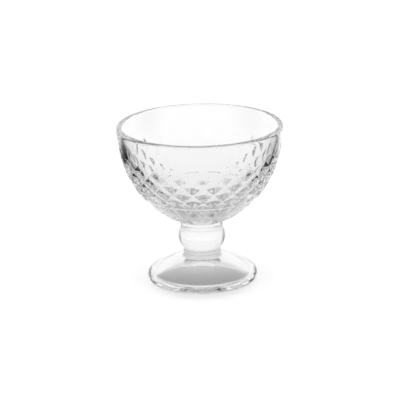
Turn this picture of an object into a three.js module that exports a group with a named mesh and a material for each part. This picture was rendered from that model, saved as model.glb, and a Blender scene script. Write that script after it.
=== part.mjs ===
// A footed ice cream cup in clear pressed glass. A wide round bowl with sunken diamonds stands on a
// ball stem and a domed foot, and two glass collars join them.
// Millimetres, +Z up. The origin is on the table, under the middle of the foot.

import * as THREE from 'three';

// Bowl
const RIM_DIAMETER = 100;
const RIM_WALL = 3.5; // wall at the rim, which is rounded over
const BOWL_HEIGHT = 59; // from the seat on the collar up to the rim
const BOWL_FLOOR = 4; // glass between the seat and the inside bottom
const BOWL_SEAT_RADIUS = 13.6; // flat seat under the bowl

// Diamonds and flutes on the outside of the bowl
const DIAMOND_COUNT = 22; // diamonds in one row, and flutes under them
const DIAMOND_TURN = 1.7; // degrees that the pattern is turned about the axis
const LIP_LEAST = 12; // least height of the smooth lip above the diamonds' points
const RING_HEIGHT = 17.5; // from the seat up to the lower edge of the diamonds
const RING_WIDTH = 1.9; // plain ring between the diamonds and the flutes
const RING_PROUD = 0.5; // how far the ring stands out from the flutes
const RING_STEP = 0.8; // height of the slope under the ring
const DIAMOND_DEPTH = 1.3; // in the middle of a diamond, below the ridges on the bowl's outline
const DIAMOND_RUN_OUT = 1; // height over which the lowest diamonds end at the ring
const FLUTE_DEPTH = 0.9;

// Collar under the bowl
const BOWL_COLLAR_HEIGHT = 4.2;

// Ball stem
const BALL_TOP_RADIUS = 12.6; // where it meets the upper collar
const BALL_FOOT_RADIUS = 10.8; // where it meets the lower collar
const BALL_BULGE = 1.6; // from the wider joint out to the widest part
const BALL_HALF_HEIGHT = 12.1; // of the whole ellipsoid that the joints cut

// Collar on the foot
const FOOT_COLLAR_HEIGHT = 1.6;

// Foot
const FOOT_RADIUS = 33;
const FOOT_TAPER = 0.8; // how far the edge leans in towards the table
const FOOT_EDGE_HEIGHT = 4.9;
const FOOT_EDGE_ROUND = 2;
const FOOT_BASE_ROUND = 0.8;
const DOME_RISE = 11.1; // of the dome's parabola above the edge
const NECK_RADIUS = 11.3;
const NECK_RUN = 1.6; // how far the neck's hollow curve reaches over the dome
const NECK_HEIGHT = 3; // from the dome's line up to the collar
const REST_RING_WIDTH = 3.5; // flat ring that stands on the table
const HOLLOW_RISE = 8.7; // hollow under the dome, inside the ring

// Steps of the round surfaces
const TURN_STEPS = 48;
const HALF_DIAMOND = 2; // columns across half a diamond
const RIM_STEPS = 6;
const INSIDE_STEPS = 10;
const FLUTE_STEPS = 6;
const CURVE_STEPS = 4;
const BALL_STEPS = 12;
const DOME_STEPS = 6;

const FULL_TURN = 2 * Math.PI;

// Heights of the joints, from the table up
const domeStart = NECK_RADIUS + NECK_RUN;
const neckBottom = domeHeight(domeStart) - domeSlope(domeStart) * NECK_RUN;
const footTop = neckBottom + NECK_HEIGHT;
const ballBottom = footTop + FOOT_COLLAR_HEIGHT;
const ballRadius = Math.max(BALL_TOP_RADIUS, BALL_FOOT_RADIUS) + BALL_BULGE;
const ballCentre = ballBottom + ballHeightAt(BALL_FOOT_RADIUS);
const ballTop = ballCentre + ballHeightAt(BALL_TOP_RADIUS);
const bowlSeat = ballTop + BOWL_COLLAR_HEIGHT;
const rimHeight = bowlSeat + BOWL_HEIGHT;

// The bowl is an ellipse outside and inside, both at their widest in the plane of the rim.
const rimRadius = RIM_DIAMETER / 2;
const insideRadius = rimRadius - RIM_WALL;
const seatAngle = Math.acos(BOWL_SEAT_RADIUS / rimRadius);
const outsideDepth = BOWL_HEIGHT / Math.sin(seatAngle);
const insideDepth = BOWL_HEIGHT - BOWL_FLOOR;
const ringDepth = BOWL_HEIGHT - RING_HEIGHT;
const columns = DIAMOND_COUNT * 2 * HALF_DIAMOND;

const glass = new THREE.MeshStandardMaterial({
  name: 'clear_glass',
  color: 0xf3f6f6,
  roughness: 0.03,
  metalness: 0,
  transparent: true,
  opacity: 0.35,
});

// The dome of the foot is a parabola.
function domeHeight(radius) {
  return FOOT_EDGE_HEIGHT + DOME_RISE * (1 - (radius / FOOT_RADIUS) ** 2);
}

function domeSlope(radius) {
  return (-2 * DOME_RISE * radius) / FOOT_RADIUS ** 2;
}

// Height of the ball's surface above or below its middle, where it has a given radius.
function ballHeightAt(radius) {
  return BALL_HALF_HEIGHT * Math.sqrt(1 - (radius / ballRadius) ** 2);
}

// Evenly spaced numbers from one value to another, both included.
function spread(from, to, steps) {
  return Array.from({ length: steps + 1 }, (_, step) => from + ((to - from) * step) / steps);
}

function revolved(name, profile) {
  const mesh = new THREE.Mesh(new THREE.LatheGeometry(profile, TURN_STEPS), glass);
  mesh.name = name;
  // A lathe turns about +Y, so it is stood up on +Z.
  mesh.rotation.x = Math.PI / 2;
  return mesh;
}

// Angle on the bowl's outside ellipse, from the plane of the rim down to a given depth.
function outsideAngle(depth) {
  return Math.asin(depth / outsideDepth);
}

// A point on the bowl's outside ellipse, at an angle below the rim, cut in along its normal.
function outsidePoint(angle, cut) {
  const normal = new THREE.Vector2(
    Math.cos(angle) / rimRadius,
    -Math.sin(angle) / outsideDepth,
  ).normalize();
  const radius = rimRadius * Math.cos(angle);
  const height = rimHeight - outsideDepth * Math.sin(angle);
  return new THREE.Vector2(radius, height).addScaledVector(normal, -cut);
}

// A point on the bowl's inside ellipse.
function insidePoint(angle) {
  return new THREE.Vector2(insideRadius * Math.cos(angle), rimHeight - insideDepth * Math.sin(angle));
}

// Angles of the ridge crossings, from the ring up to the lip. Each half row is as high as half a
// diamond is wide there, so the diamonds stay square.
function crossingAngles() {
  const angles = [outsideAngle(ringDepth)];
  const highest = outsideAngle(LIP_LEAST);
  for (;;) {
    const angle = angles.at(-1);
    const halfWidth = (Math.PI * rimRadius * Math.cos(angle)) / DIAMOND_COUNT;
    const arcPerAngle = Math.hypot(rimRadius * Math.sin(angle), outsideDepth * Math.cos(angle));
    const next = angle - halfWidth / arcPerAngle;
    if (next < highest) {
      return angles;
    }
    angles.push(next);
  }
}

// How far a number is from the nearest even one.
function fromEven(value) {
  return Math.abs(value - 2 * Math.round(value / 2));
}

// Depth of the relief at a place counted in half diamonds across and half rows up: nothing on the
// ridges, which run along the diagonals, and the whole depth in the middle of a diamond. The highest
// whole diamonds end in their own points at the top row, with plain glass between them.
function diamondCut(across, up, top) {
  if (fromEven(across - top) + up >= top) {
    return 0;
  }
  return DIAMOND_DEPTH * Math.min(fromEven(across + up), fromEven(across - up));
}

// One ring of points round the bowl, from a profile point for each column.
function ringOf(pointAt) {
  const start = THREE.MathUtils.degToRad(DIAMOND_TURN);
  return Array.from({ length: columns }, (_, column) => {
    const point = pointAt(column);
    const turn = start + (FULL_TURN * column) / columns;
    return [point.x * Math.cos(turn), point.x * Math.sin(turn), point.y];
  });
}

// Flutes run from the seat up to the ring, deepest half way, and the ring stands out above them.
function fluteRings() {
  return spread(seatAngle, outsideAngle(ringDepth + RING_WIDTH), FLUTE_STEPS).map((angle, step) => {
    const share = step / FLUTE_STEPS;
    const depth = FLUTE_DEPTH * Math.sin(Math.PI * share);
    return ringOf((column) => {
      const scallop = Math.sin((Math.PI * column) / (2 * HALF_DIAMOND)) ** 2;
      return outsidePoint(angle, RING_PROUD * share + depth * scallop);
    });
  });
}

// Diamonds run up to the lip, with one ring of points at each crossing and one between. The lowest
// ring of points is where the run-out to the plain ring starts.
function diamondRings(angles) {
  const top = angles.length - 1;
  const ringAt = (angle, up) => {
    return ringOf((column) => outsidePoint(angle, diamondCut(column / HALF_DIAMOND, up, top)));
  };
  const runOut = outsideAngle(ringDepth - DIAMOND_RUN_OUT);
  const lowest = ringAt(runOut, (angles[0] - runOut) / (angles[0] - angles[1]));
  return angles.flatMap((angle, row) => {
    const crossing = row === 0 ? lowest : ringAt(angle, row);
    if (row === top) {
      return [crossing];
    }
    return [crossing, ringAt((angle + angles[row + 1]) / 2, row + 0.5)];
  });
}

// The rim is rounded over from the outside wall to the inside wall.
function rimRings() {
  const shoulder = RIM_WALL / 2;
  const outer = outsidePoint(outsideAngle(shoulder), 0);
  const inner = insidePoint(Math.asin(shoulder / insideDepth));
  const middle = (outer.x + inner.x) / 2;
  const half = (outer.x - inner.x) / 2;
  return spread(0, Math.PI, RIM_STEPS).map((angle) => {
    const point = new THREE.Vector2(
      middle + half * Math.cos(angle),
      rimHeight - shoulder + shoulder * Math.sin(angle),
    );
    return ringOf(() => point);
  });
}

// The inside is smooth, down to the ring next to its lowest point.
function insideRings() {
  const first = Math.asin(RIM_WALL / 2 / insideDepth);
  return spread(first, Math.PI / 2, INSIDE_STEPS)
    .slice(1, -1)
    .map((angle) => ringOf(() => insidePoint(angle)));
}

// Joins rings into one closed skin, with one point closing each end. A cell is split from its lower
// first corner unless leans says to split it the other way, along the ridge that crosses it.
function skin(lowEnd, rings, highEnd, leans) {
  const corner = (ring, column) => 1 + ring * columns + (column % columns);
  const last = 1 + rings.length * columns;
  const faces = [];
  for (let column = 0; column < columns; column += 1) {
    faces.push(0, corner(0, column + 1), corner(0, column));
    faces.push(last, corner(rings.length - 1, column), corner(rings.length - 1, column + 1));
    for (let ring = 0; ring + 1 < rings.length; ring += 1) {
      const [a, b] = [corner(ring, column), corner(ring, column + 1)];
      const [c, d] = [corner(ring + 1, column), corner(ring + 1, column + 1)];
      const split = leans(ring, column) ? [a, b, c, b, d, c] : [a, b, d, a, d, c];
      faces.push(...split);
    }
  }
  const geometry = new THREE.BufferGeometry();
  const points = [lowEnd, ...rings.flat(), highEnd].flat();
  geometry.setAttribute('position', new THREE.Float32BufferAttribute(points, 3));
  geometry.setIndex(faces);
  geometry.computeVertexNormals();
  return geometry;
}

function makeBowl() {
  const angles = crossingAngles();
  const plainRing = (depth) => ringOf(() => outsidePoint(outsideAngle(depth), 0));
  const ringEdges = [plainRing(ringDepth + RING_WIDTH - RING_STEP), plainRing(ringDepth)];
  const below = [...fluteRings(), ...ringEdges];
  const diamonds = diamondRings(angles);
  const rings = [...below, ...diamonds, ...rimRings(), ...insideRings()];
  const leans = (ring, column) => {
    const row = Math.floor((ring - below.length) / 2);
    const inDiamonds = ring >= below.length && ring + 1 < below.length + diamonds.length;
    return inDiamonds && (row + Math.floor(column / HALF_DIAMOND)) % 2 === 1;
  };
  const inside = insidePoint(Math.PI / 2);
  const mesh = new THREE.Mesh(skin([0, 0, bowlSeat], rings, [0, 0, inside.y], leans), glass);
  mesh.name = 'bowl';
  return mesh;
}

// The upper collar flares from the ball up to the bowl's seat, with a slightly hollow side.
function makeBowlCollar() {
  const side = new THREE.QuadraticBezierCurve(
    new THREE.Vector2(BALL_TOP_RADIUS, ballTop),
    new THREE.Vector2(BALL_TOP_RADIUS, (ballTop + bowlSeat) / 2),
    new THREE.Vector2(BOWL_SEAT_RADIUS, bowlSeat),
  );
  return revolved('bowl_collar', [
    new THREE.Vector2(0, ballTop),
    ...side.getPoints(CURVE_STEPS),
    new THREE.Vector2(0, bowlSeat),
  ]);
}

// The ball is an ellipsoid cut flat at both joints.
function makeBallStem() {
  const lowest = -Math.acos(BALL_FOOT_RADIUS / ballRadius);
  const highest = Math.acos(BALL_TOP_RADIUS / ballRadius);
  const side = spread(lowest, highest, BALL_STEPS).map(
    (angle) => new THREE.Vector2(
      ballRadius * Math.cos(angle),
      ballCentre + BALL_HALF_HEIGHT * Math.sin(angle),
    ),
  );
  return revolved('ball_stem', [new THREE.Vector2(0, ballBottom), ...side, new THREE.Vector2(0, ballTop)]);
}

// The lower collar widens from the ball down to the neck of the foot.
function makeFootCollar() {
  const side = new THREE.QuadraticBezierCurve(
    new THREE.Vector2(NECK_RADIUS, footTop),
    new THREE.Vector2(NECK_RADIUS, ballBottom),
    new THREE.Vector2(BALL_FOOT_RADIUS, ballBottom),
  );
  return revolved('foot_collar', [
    new THREE.Vector2(0, footTop),
    ...side.getPoints(CURVE_STEPS),
    new THREE.Vector2(0, ballBottom),
  ]);
}

function makeFoot() {
  const baseRadius = FOOT_RADIUS - FOOT_TAPER;
  const hollowRadius = baseRadius - FOOT_BASE_ROUND - REST_RING_WIDTH;
  const hollow = spread(0, hollowRadius, DOME_STEPS).map(
    (radius) => new THREE.Vector2(radius, HOLLOW_RISE * (1 - (radius / hollowRadius) ** 2)),
  );
  const baseCorner = new THREE.QuadraticBezierCurve(
    new THREE.Vector2(baseRadius - FOOT_BASE_ROUND, 0),
    new THREE.Vector2(baseRadius, 0),
    new THREE.Vector2(baseRadius, FOOT_BASE_ROUND),
  );
  const domeEnd = FOOT_RADIUS - FOOT_EDGE_ROUND;
  const edgeCorner = new THREE.QuadraticBezierCurve(
    new THREE.Vector2(FOOT_RADIUS, FOOT_EDGE_HEIGHT - FOOT_EDGE_ROUND),
    new THREE.Vector2(FOOT_RADIUS, FOOT_EDGE_HEIGHT),
    new THREE.Vector2(domeEnd, domeHeight(domeEnd)),
  );
  const dome = spread(domeEnd, domeStart, DOME_STEPS).map(
    (radius) => new THREE.Vector2(radius, domeHeight(radius)),
  );
  const neck = new THREE.QuadraticBezierCurve(
    new THREE.Vector2(domeStart, domeHeight(domeStart)),
    new THREE.Vector2(NECK_RADIUS, neckBottom),
    new THREE.Vector2(NECK_RADIUS, footTop),
  );
  return revolved('foot', [
    ...hollow,
    ...baseCorner.getPoints(CURVE_STEPS),
    ...edgeCorner.getPoints(CURVE_STEPS),
    ...dome.slice(1, -1),
    ...neck.getPoints(CURVE_STEPS),
    new THREE.Vector2(0, footTop),
  ]);
}

const group = new THREE.Group();
group.add(makeFoot(), makeFootCollar(), makeBallStem(), makeBowlCollar(), makeBowl());

export default group;
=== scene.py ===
# A footed ice cream cup in clear pressed glass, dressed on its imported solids. Each of the five glass
# pieces is made again as a fine closed skin, with the sunken diamonds, ridges and flutes rounded as
# pressed glass is. Lengths are millimetres until a mesh is made, and +Z is up.

import math
import bpy
import numpy as np
from mathutils import Matrix, Vector


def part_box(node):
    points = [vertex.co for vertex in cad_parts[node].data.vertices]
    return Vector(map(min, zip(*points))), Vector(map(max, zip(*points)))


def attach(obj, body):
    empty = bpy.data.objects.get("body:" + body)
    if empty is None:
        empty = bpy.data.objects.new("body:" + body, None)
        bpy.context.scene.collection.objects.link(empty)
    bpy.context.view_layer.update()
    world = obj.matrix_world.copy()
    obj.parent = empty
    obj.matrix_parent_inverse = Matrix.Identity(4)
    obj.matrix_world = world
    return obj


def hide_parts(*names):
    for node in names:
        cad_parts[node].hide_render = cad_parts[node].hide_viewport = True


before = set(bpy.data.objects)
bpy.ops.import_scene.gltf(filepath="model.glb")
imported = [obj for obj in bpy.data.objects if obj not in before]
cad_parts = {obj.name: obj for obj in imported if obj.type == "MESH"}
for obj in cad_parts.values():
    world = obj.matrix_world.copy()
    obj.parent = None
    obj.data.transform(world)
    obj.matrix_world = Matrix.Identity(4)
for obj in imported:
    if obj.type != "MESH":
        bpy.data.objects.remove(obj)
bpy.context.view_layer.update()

MM = 0.001

# Radii and walls of the glass, as in the solids
RIM_RADIUS = 50
RIM_WALL = 3.5
BOWL_FLOOR = 4
SEAT_RADIUS = 13.6
BALL_TOP_RADIUS = 12.6
BALL_FOOT_RADIUS = 10.8
BALL_RADIUS = 14.2
NECK_RADIUS = 11.3
NECK_RUN = 1.6
FOOT_RADIUS = 33
FOOT_TAPER = 0.8
FOOT_EDGE_HEIGHT = 4.9
FOOT_EDGE_ROUND = 2
FOOT_BASE_ROUND = 0.8
DOME_RISE = 11.1
REST_RING_WIDTH = 3.5
HOLLOW_RISE = 8.7

# Relief on the outside of the bowl
DIAMOND_COUNT = 22
DIAMOND_TURN = 1.7  # degrees
LIP_LEAST = 12
RING_HEIGHT = 17.5
RING_WIDTH = 1.9
RING_PROUD = 0.5
RING_STEP = 0.8
DIAMOND_DEPTH = 1.3
RUN_OUT = 1.0
FULLNESS = 1.5  # 1 for a hollow with straight sides, more for a rounder one
FLUTE_DEPTH = 0.9
RIDGE_ROUND = 0.12  # share of half a diamond over which a ridge is rounded

# Heights of the joints, taken from the solids
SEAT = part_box("bowl")[0][2] / MM
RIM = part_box("bowl")[1][2] / MM
BALL_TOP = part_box("ball_stem")[1][2] / MM
BALL_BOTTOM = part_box("ball_stem")[0][2] / MM
FOOT_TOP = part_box("foot")[1][2] / MM

# Steps of the fine skins
HALF_STEPS = 12  # columns across half a diamond, and rows up half a diamond
COLUMNS = DIAMOND_COUNT * 2 * HALF_STEPS
PLAIN_COLUMNS = 256
FLUTE_ROWS = 28
EDGE_ROWS = 5
LIP_ROWS = 12
RIM_ROWS = 16
INSIDE_ROWS = 36
CURVE_ROWS = 14
BALL_ROWS = 72
DOME_ROWS = 48
HOLLOW_ROWS = 40

BOWL_HEIGHT = RIM - SEAT
SEAT_ANGLE = math.acos(SEAT_RADIUS / RIM_RADIUS)
OUTSIDE_DEPTH = BOWL_HEIGHT / math.sin(SEAT_ANGLE)
INSIDE_RADIUS = RIM_RADIUS - RIM_WALL
INSIDE_DEPTH = BOWL_HEIGHT - BOWL_FLOOR
RING_DEPTH = BOWL_HEIGHT - RING_HEIGHT

# The photograph's camera
PHOTO_SIDE = 400  # pixels
PIXELS_PER_MM = 1.661
AIM_PIXEL = (201.2, 201.8)
AIM_HEIGHT = 47.5
CAMERA_ELEVATION = 17.0  # degrees
CAMERA_ROLL = -1.2  # degrees
CAMERA_DISTANCE = 1500
SENSOR = 36

# The glass: nearly white, with a slow waviness and faint patches of haze
GLASS_IOR = 1.5
GLASS_WHITE = 0.95
WAVE_SIZE = 12
WAVE_HEIGHT = 0.15
HAZE_SIZE = 20
HAZE_ROUGHNESS = 0.01

# Studio light. The floor's soft shadow is painted into its glow. The glowing sheet under the cup, with
# painted shade under the front of the foot, and the dark flags beside it show only in the glass.
FLOOR_SIZE = 8000
FLOOR_WHITE = 0.9
FLOOR_GLOW = 0.54
FLOOR_GAP = 0.2  # below the foot, which leaves room for the sheet of painted shade
WHITE_LIGHT = 1.0
ROOM_LIGHT = 0.4
WHITE_TOP = 20  # degrees above the floor
DIM_START = 45  # degrees above the floor
# Painted shadow: the floor's glow is lowered in a soft patch under the front of the foot.
SHADOW_FORWARD = 15
SHADOW_RADII = (22, 33)
SHADOW_DEPTH = 0.12  # taken off the floor's glow
# A glowing sheet under the cup with painted shade: its glow is dimmed under the front of the foot,
# standing for the shaded floor seen through the glass.
SHADE_SHEET_FORWARD = 42
SHADE_SHEET_DIM_RADIUS = 10
SHADE_SHEET_RADIUS = 125
SHADE_SHEET_WIDTH = 3  # times its length
PAINTED_SHADE_GLOW = 0.36
SHADE_SHEET_EDGE_GLOW = 0.95
FLAG_LEFT = 74
FLAG_RIGHT = 92
FLAG_BACK = 15
FLAG_HEIGHT = 38
FLAG_RADII = (22, 80)  # solid out to the first, gone at the second
FLAG_GREY = 0.01
LIGHT_TURNS = 32
REFLECTION_TURNS = 16


def bezier(start, bend, end, rows):
    """Points on a curve from start to end that leaves and arrives towards bend."""
    t = np.linspace(0, 1, rows)[:, None]
    start, bend, end = np.array(start), np.array(bend), np.array(end)
    return (1 - t) ** 2 * start + 2 * t * (1 - t) * bend + t ** 2 * end


def dome_height(radius):
    return FOOT_EDGE_HEIGHT + DOME_RISE * (1 - (radius / FOOT_RADIUS) ** 2)


def dome_slope(radius):
    return -2 * DOME_RISE * radius / FOOT_RADIUS ** 2


def outside_angle(depth):
    """Angle on the bowl's outside ellipse, from the plane of the rim down to a depth."""
    return math.asin(depth / OUTSIDE_DEPTH)


def outside_ring(angle, cut):
    """Radii and heights of one ring on the bowl's outside, cut in along the normal."""
    normal = np.array([math.cos(angle) / RIM_RADIUS, -math.sin(angle) / OUTSIDE_DEPTH])
    normal /= np.linalg.norm(normal)
    cut = np.broadcast_to(cut, COLUMNS)
    radius = RIM_RADIUS * math.cos(angle) - cut * normal[0]
    height = RIM - OUTSIDE_DEPTH * math.sin(angle) - cut * normal[1]
    return radius, height


def plain_ring(point):
    return np.full(COLUMNS, point[0]), np.full(COLUMNS, point[1])


def crossing_angles():
    """Angles of the ridge crossings, from the ring up to the lip, for square diamonds."""
    angles = [outside_angle(RING_DEPTH)]
    while True:
        angle = angles[-1]
        half_width = math.pi * RIM_RADIUS * math.cos(angle) / DIAMOND_COUNT
        arc = math.hypot(RIM_RADIUS * math.sin(angle), OUTSIDE_DEPTH * math.cos(angle))
        step = half_width / arc
        if angle - step < outside_angle(LIP_LEAST):
            return angles
        angles.append(angle - step)


def from_ridge(value):
    """Distance from the nearest ridge, 0 to 1, with the ridge itself rounded over."""
    distance = np.abs(value - 2 * np.round(value / 2))
    near = distance ** 2 / (2 * RIDGE_ROUND) + RIDGE_ROUND / 2
    rounded = np.where(distance < RIDGE_ROUND, near, distance)
    return (rounded - RIDGE_ROUND / 2) / (1 - RIDGE_ROUND / 2)


def sunk(across, up, top):
    """Depth of the relief, counted in half diamonds: none on the ridges, full in the middle. The
    highest whole diamonds end in their own points at the top row, with plain glass between them."""
    one = from_ridge(across + up)
    other = from_ridge(across - up)
    depth = DIAMOND_DEPTH * (1 - (1 - one) ** FULLNESS) * (1 - (1 - other) ** FULLNESS)
    off_middle = np.abs(across - top - 2 * np.round((across - top) / 2))
    return np.where(off_middle + up < top, depth, 0)


def ease(share):
    return share * share * (3 - 2 * share)


def bowl_rings():
    """Rings of the bowl from the seat, up the outside, over the rim and down the inside."""
    rings = []
    across = np.arange(COLUMNS) / HALF_STEPS
    scallop = np.sin(math.pi * across / 2) ** 2
    angles = crossing_angles()
    top = len(angles) - 1
    flute_top = outside_angle(RING_DEPTH + RING_WIDTH)
    ring_low = outside_angle(RING_DEPTH + RING_WIDTH - RING_STEP)
    run_out = (angles[0] - outside_angle(RING_DEPTH - RUN_OUT)) / (angles[0] - angles[1])
    for share in np.linspace(0, 1, FLUTE_ROWS):
        angle = SEAT_ANGLE + (flute_top - SEAT_ANGLE) * share
        flute = FLUTE_DEPTH * math.sin(math.pi * share) * scallop
        rings.append(outside_ring(angle, RING_PROUD * share + flute))
    for share in np.linspace(0, 1, EDGE_ROWS)[1:]:
        angle = flute_top + (ring_low - flute_top) * share
        rings.append(outside_ring(angle, RING_PROUD * ease(1 - share)))
    first_row = len(rings)
    for row, (low, high) in enumerate(zip(angles, angles[1:])):
        for share in np.arange(HALF_STEPS) / HALF_STEPS:
            up = row + share
            cut = sunk(across, up, top) * ease(min(up / run_out, 1))
            rings.append(outside_ring(low + (high - low) * share, cut))
    last_row = len(rings)
    shoulder = RIM_WALL / 2
    for depth in np.linspace(OUTSIDE_DEPTH * math.sin(angles[-1]), shoulder, LIP_ROWS)[:-1]:
        rings.append(outside_ring(outside_angle(depth), 0))
    outer = RIM_RADIUS * math.cos(outside_angle(shoulder))
    first_inside = math.asin(shoulder / INSIDE_DEPTH)
    inner = INSIDE_RADIUS * math.cos(first_inside)
    for turn in np.linspace(0, math.pi, RIM_ROWS):
        radius = (outer + inner) / 2 + (outer - inner) / 2 * math.cos(turn)
        rings.append(plain_ring((radius, RIM - shoulder + shoulder * math.sin(turn))))
    for angle in np.linspace(first_inside, math.pi / 2, INSIDE_ROWS)[1:-1]:
        radius = INSIDE_RADIUS * math.cos(angle)
        rings.append(plain_ring((radius, RIM - INSIDE_DEPTH * math.sin(angle))))
    return rings, first_row, last_row


def turned_rings(profile):
    """The same ring all round for each point of a profile."""
    even = np.ones(PLAIN_COLUMNS)
    return [(radius * even, height * even) for radius, height in profile]


def skin(name, rings, low_joint, high_joint, turn=0.0, ridged_rows=range(0)):
    """One closed skin over rings of points, with a point on the axis closing each end. Cells in the
    ridged rows are split along the ridge that crosses them."""
    radii = np.array([ring[0] for ring in rings])
    heights = np.array([ring[1] for ring in rings])
    rows, columns = radii.shape
    around = turn + np.arange(columns) * 2 * math.pi / columns
    points = np.stack([radii * np.cos(around), radii * np.sin(around), heights], 2).reshape(-1, 3)
    ends = [[0, 0, heights[0].mean()], [0, 0, heights[-1].mean()]]
    points = np.vstack([points, ends]) * MM
    low, high = rows * columns, rows * columns + 1
    faces = []
    for row in range(rows - 1):
        for column in range(columns):
            a = row * columns + column
            b = row * columns + (column + 1) % columns
            c, d = a + columns, b + columns
            if row not in ridged_rows:
                faces.append((a, b, d, c))
            elif ((row - ridged_rows.start) // HALF_STEPS + column // HALF_STEPS) % 2:
                faces += [(a, b, c), (b, d, c)]
            else:
                faces += [(a, b, d), (a, d, c)]
    sides = len(faces)
    top = (rows - 1) * columns
    faces += [(low, (column + 1) % columns, column) for column in range(columns)]
    faces += [(high, top + column, top + (column + 1) % columns) for column in range(columns)]
    mesh = bpy.data.meshes.new(name)
    mesh.from_pydata(points.tolist(), [], faces)
    joint = np.zeros(len(faces), dtype=np.int32)
    joint[sides:sides + columns] = low_joint
    joint[sides + columns:] = high_joint
    mesh.polygons.foreach_set("material_index", joint)
    mesh.polygons.foreach_set("use_smooth", joint == 0)
    mesh.materials.append(clear_glass)
    mesh.materials.append(fused_joint)
    mesh.update()
    piece = bpy.data.objects.new(name, mesh)
    bpy.context.collection.objects.link(piece)
    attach(piece, "root")
    return piece


def make_bowl():
    rings, first_row, last_row = bowl_rings()
    turn = math.radians(DIAMOND_TURN)
    piece = skin("glass_bowl", rings, True, False, turn, range(first_row, last_row))
    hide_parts("bowl")


def make_bowl_collar():
    bend = (BALL_TOP_RADIUS, (BALL_TOP + SEAT) / 2)
    side = bezier((BALL_TOP_RADIUS, BALL_TOP), bend, (SEAT_RADIUS, SEAT), CURVE_ROWS)
    piece = skin("glass_bowl_collar", turned_rings(side), True, True)
    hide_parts("bowl_collar")


def make_ball_stem():
    low = -math.acos(BALL_FOOT_RADIUS / BALL_RADIUS)
    high = math.acos(BALL_TOP_RADIUS / BALL_RADIUS)
    half_height = (BALL_TOP - BALL_BOTTOM) / (math.sin(high) - math.sin(low))
    centre = BALL_BOTTOM - half_height * math.sin(low)
    angles = np.linspace(low, high, BALL_ROWS)
    side = np.stack([BALL_RADIUS * np.cos(angles), centre + half_height * np.sin(angles)], 1)
    piece = skin("glass_ball_stem", turned_rings(side), True, True)
    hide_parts("ball_stem")


def make_foot_collar():
    bend = (NECK_RADIUS, BALL_BOTTOM)
    side = bezier((NECK_RADIUS, FOOT_TOP), bend, (BALL_FOOT_RADIUS, BALL_BOTTOM), CURVE_ROWS)
    piece = skin("glass_foot_collar", turned_rings(side), True, True)
    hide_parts("foot_collar")


def make_foot():
    base_radius = FOOT_RADIUS - FOOT_TAPER
    hollow_radius = base_radius - FOOT_BASE_ROUND - REST_RING_WIDTH
    hollow = hollow_radius * np.linspace(0, 1, HOLLOW_ROWS)[1:]
    dome_end = FOOT_RADIUS - FOOT_EDGE_ROUND
    dome_start = NECK_RADIUS + NECK_RUN
    dome = np.linspace(dome_end, dome_start, DOME_ROWS)[1:-1]
    neck_bottom = dome_height(dome_start) - dome_slope(dome_start) * NECK_RUN
    profile = np.vstack([
        np.stack([hollow, HOLLOW_RISE * (1 - (hollow / hollow_radius) ** 2)], 1),
        bezier(
            (base_radius - FOOT_BASE_ROUND, 0),
            (base_radius, 0),
            (base_radius, FOOT_BASE_ROUND),
            CURVE_ROWS,
        ),
        bezier(
            (FOOT_RADIUS, FOOT_EDGE_HEIGHT - FOOT_EDGE_ROUND),
            (FOOT_RADIUS, FOOT_EDGE_HEIGHT),
            (dome_end, dome_height(dome_end)),
            CURVE_ROWS,
        ),
        np.stack([dome, dome_height(dome)], 1),
        bezier(
            (dome_start, dome_height(dome_start)),
            (NECK_RADIUS, neck_bottom),
            (NECK_RADIUS, FOOT_TOP),
            CURVE_ROWS,
        ),
    ])
    piece = skin("glass_foot", turned_rings(profile), False, True)
    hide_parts("foot")


def make_clear_glass():
    material = bpy.data.materials.new("pressed_glass")
    material.use_nodes = True
    tree = material.node_tree
    shader = tree.nodes["Principled BSDF"]
    shader.inputs["Base Color"].default_value = (GLASS_WHITE, GLASS_WHITE, GLASS_WHITE, 1)
    shader.inputs["Transmission Weight"].default_value = 1
    shader.inputs["IOR"].default_value = GLASS_IOR
    place = tree.nodes.new("ShaderNodeNewGeometry")
    haze = tree.nodes.new("ShaderNodeTexNoise")
    haze.inputs["Scale"].default_value = 1 / (HAZE_SIZE * MM)
    haze_level = tree.nodes.new("ShaderNodeMapRange")
    haze_level.inputs["To Max"].default_value = HAZE_ROUGHNESS
    wave = tree.nodes.new("ShaderNodeTexNoise")
    wave.inputs["Scale"].default_value = 1 / (WAVE_SIZE * MM)
    wave.inputs["Detail"].default_value = 1
    bump = tree.nodes.new("ShaderNodeBump")
    bump.inputs["Distance"].default_value = WAVE_HEIGHT * MM
    tree.links.new(place.outputs["Position"], haze.inputs["Vector"])
    tree.links.new(place.outputs["Position"], wave.inputs["Vector"])
    tree.links.new(haze.outputs["Fac"], haze_level.inputs["Value"])
    tree.links.new(haze_level.outputs["Result"], shader.inputs["Roughness"])
    tree.links.new(wave.outputs["Fac"], bump.inputs["Height"])
    tree.links.new(bump.outputs["Normal"], shader.inputs["Normal"])
    return material


def make_fused_joint():
    """Inside a joint the glass runs through, so the two faces that meet there are clear."""
    material = bpy.data.materials.new("fused_joint")
    material.use_nodes = True
    nodes = material.node_tree.nodes
    clear = nodes.new("ShaderNodeBsdfTransparent")
    material.node_tree.links.new(clear.outputs[0], nodes["Material Output"].inputs["Surface"])
    nodes.remove(nodes["Principled BSDF"])
    return material


def plain_material(name, white, glow):
    material = bpy.data.materials.new(name)
    material.use_nodes = True
    shader = material.node_tree.nodes["Principled BSDF"]
    shader.inputs["Base Color"].default_value = (white, white, white, 1)
    shader.inputs["Roughness"].default_value = 1
    shader.inputs["Specular IOR Level"].default_value = 0
    shader.inputs["Emission Color"].default_value = (1, 1, 1, 1)
    shader.inputs["Emission Strength"].default_value = glow
    return material


def stage_sheet(name, corners, material):
    mesh = bpy.data.meshes.new(name)
    mesh.from_pydata(corners, [], [range(len(corners))])
    mesh.materials.append(material)
    sheet = bpy.data.objects.new(name, mesh)
    bpy.context.collection.objects.link(sheet)
    return sheet


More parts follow.
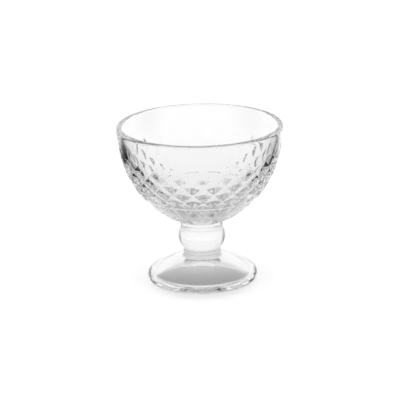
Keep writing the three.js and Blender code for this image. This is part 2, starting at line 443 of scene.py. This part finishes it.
def fade_from_middle(material, socket, middle, radii, levels, width=1):
    """Lets one value of a sheet's shader change smoothly with the distance from a place on it. The
    change is round, or some times as wide across as it is long."""
    tree = material.node_tree
    place = tree.nodes.new("ShaderNodeNewGeometry")
    offset = tree.nodes.new("ShaderNodeVectorMath")
    offset.operation = "SUBTRACT"
    offset.inputs[1].default_value = middle * MM
    narrowed = tree.nodes.new("ShaderNodeVectorMath")
    narrowed.operation = "MULTIPLY"
    narrowed.inputs[1].default_value = (1 / width, 1, 1)
    distance = tree.nodes.new("ShaderNodeVectorMath")
    distance.operation = "LENGTH"
    level = tree.nodes.new("ShaderNodeMapRange")
    level.interpolation_type = "SMOOTHSTEP"
    level.inputs["From Min"].default_value = radii[0] * MM
    level.inputs["From Max"].default_value = radii[1] * MM
    level.inputs["To Min"].default_value = levels[0]
    level.inputs["To Max"].default_value = levels[1]
    tree.links.new(place.outputs["Position"], offset.inputs[0])
    tree.links.new(offset.outputs["Vector"], narrowed.inputs[0])
    tree.links.new(narrowed.outputs["Vector"], distance.inputs[0])
    tree.links.new(distance.outputs["Value"], level.inputs["Value"])
    tree.links.new(level.outputs["Result"], tree.nodes["Principled BSDF"].inputs[socket])


def make_floor():
    """A white glowing floor, with a soft shadow painted into its glow under the front of the foot."""
    half = FLOOR_SIZE / 2 * MM
    z = -FLOOR_GAP * MM
    corners = [(-half, -half, z), (half, -half, z), (half, half, z), (-half, half, z)]
    material = plain_material("floor_white", FLOOR_WHITE, FLOOR_GLOW)
    shaded = FLOOR_GLOW - SHADOW_DEPTH
    middle = Vector((0, -SHADOW_FORWARD, 0))
    fade_from_middle(material, "Emission Strength", middle, SHADOW_RADII, (shaded, FLOOR_GLOW))
    stage_sheet("floor", corners, material)


def show_only_in_glass(sheet):
    """Hides a sheet from the camera and from the light on the floor."""
    sheet.visible_camera = False
    sheet.visible_diffuse = False
    sheet.visible_shadow = False


def make_painted_shade_sheet():
    """A wide glowing sheet under the cup, painted with shade: dim under the front of the foot and
    white at its edge. It shows only in the glass."""
    material = plain_material("painted_shade_glow", 0, SHADE_SHEET_EDGE_GLOW)
    middle = Vector((0, -SHADE_SHEET_FORWARD, 0))
    radii, levels = (SHADE_SHEET_DIM_RADIUS, SHADE_SHEET_RADIUS), (PAINTED_SHADE_GLOW, SHADE_SHEET_EDGE_GLOW)
    fade_from_middle(material, "Emission Strength", middle, radii, levels, SHADE_SHEET_WIDTH)
    around = np.arange(PLAIN_COLUMNS) * 2 * math.pi / PLAIN_COLUMNS
    across = SHADE_SHEET_RADIUS * SHADE_SHEET_WIDTH * MM * np.cos(around)
    along = SHADE_SHEET_RADIUS * MM * np.sin(around) - SHADE_SHEET_FORWARD * MM
    corners = [(x, y, -FLOOR_GAP / 2 * MM) for x, y in zip(across, along)]
    show_only_in_glass(stage_sheet("mat", corners, material))


def make_flags():
    """Dark cards with soft edges beside the cup. They show only in the glass, as its dark edges."""
    half = FLAG_RADII[1] * MM
    top = FLAG_HEIGHT * MM + half
    for name, distance in (("flag_left", -FLAG_LEFT), ("flag_right", FLAG_RIGHT)):
        dark = plain_material(name, FLAG_GREY, 0)
        fade_from_middle(dark, "Alpha", Vector((distance, FLAG_BACK, FLAG_HEIGHT)), FLAG_RADII, (1, 0))
        x, near, far = distance * MM, FLAG_BACK * MM - half, FLAG_BACK * MM + half
        corners = [(x, near, 0), (x, far, 0), (x, far, top), (x, near, top)]
        show_only_in_glass(stage_sheet(name, corners, dark))


def make_world():
    """Soft light all round: white low down, and dimmer above."""
    world = bpy.data.worlds.new("studio")
    bpy.context.scene.world = world
    world.use_nodes = True
    tree = world.node_tree
    direction = tree.nodes.new("ShaderNodeTexCoord")
    parts = tree.nodes.new("ShaderNodeSeparateXYZ")
    level = tree.nodes.new("ShaderNodeMapRange")
    level.interpolation_type = "SMOOTHSTEP"
    level.inputs["From Min"].default_value = math.sin(math.radians(WHITE_TOP))
    level.inputs["From Max"].default_value = math.sin(math.radians(DIM_START))
    level.inputs["To Min"].default_value = WHITE_LIGHT
    level.inputs["To Max"].default_value = ROOM_LIGHT
    tree.links.new(direction.outputs["Generated"], parts.inputs[0])
    tree.links.new(parts.outputs["Z"], level.inputs["Value"])
    tree.links.new(level.outputs["Result"], tree.nodes["Background"].inputs["Strength"])
    tree.nodes["Background"].inputs["Color"].default_value = (1, 1, 1, 1)


def make_camera():
    camera = bpy.data.cameras.new("camera")
    place = bpy.data.objects.new("camera", camera)
    bpy.context.collection.objects.link(place)
    tilt = math.radians(CAMERA_ELEVATION)
    roll = math.radians(CAMERA_ROLL)
    ahead = Vector((0, math.cos(tilt), -math.sin(tilt)))
    right = Vector((1, 0, 0))
    up = right.cross(ahead)
    aim = Vector((0, 0, AIM_HEIGHT * MM))
    across = right * math.cos(roll) + up * math.sin(roll)
    upright = up * math.cos(roll) - right * math.sin(roll)
    turn = Matrix((across, upright, -ahead)).transposed()
    place.matrix_world = Matrix.Translation(aim - ahead * CAMERA_DISTANCE * MM) @ turn.to_4x4()
    camera.sensor_fit = "HORIZONTAL"
    camera.sensor_width = SENSOR
    camera.lens = PIXELS_PER_MM * CAMERA_DISTANCE * SENSOR / PHOTO_SIDE
    camera.shift_x = 0.5 - AIM_PIXEL[0] / PHOTO_SIDE
    camera.shift_y = AIM_PIXEL[1] / PHOTO_SIDE - 0.5
    bpy.context.scene.camera = place


def set_light_paths():
    """Rays turn many times inside the glass before they leave it."""
    scene = bpy.context.scene
    scene.view_settings.view_transform = "Standard"
    scene.cycles.max_bounces = LIGHT_TURNS
    scene.cycles.transmission_bounces = LIGHT_TURNS
    scene.cycles.transparent_max_bounces = LIGHT_TURNS
    scene.cycles.glossy_bounces = REFLECTION_TURNS


clear_glass = make_clear_glass()
fused_joint = make_fused_joint()
make_camera()
make_bowl()
make_bowl_collar()
make_ball_stem()
make_foot_collar()
make_foot()
make_floor()
make_painted_shade_sheet()
make_flags()
make_world()
set_light_paths()
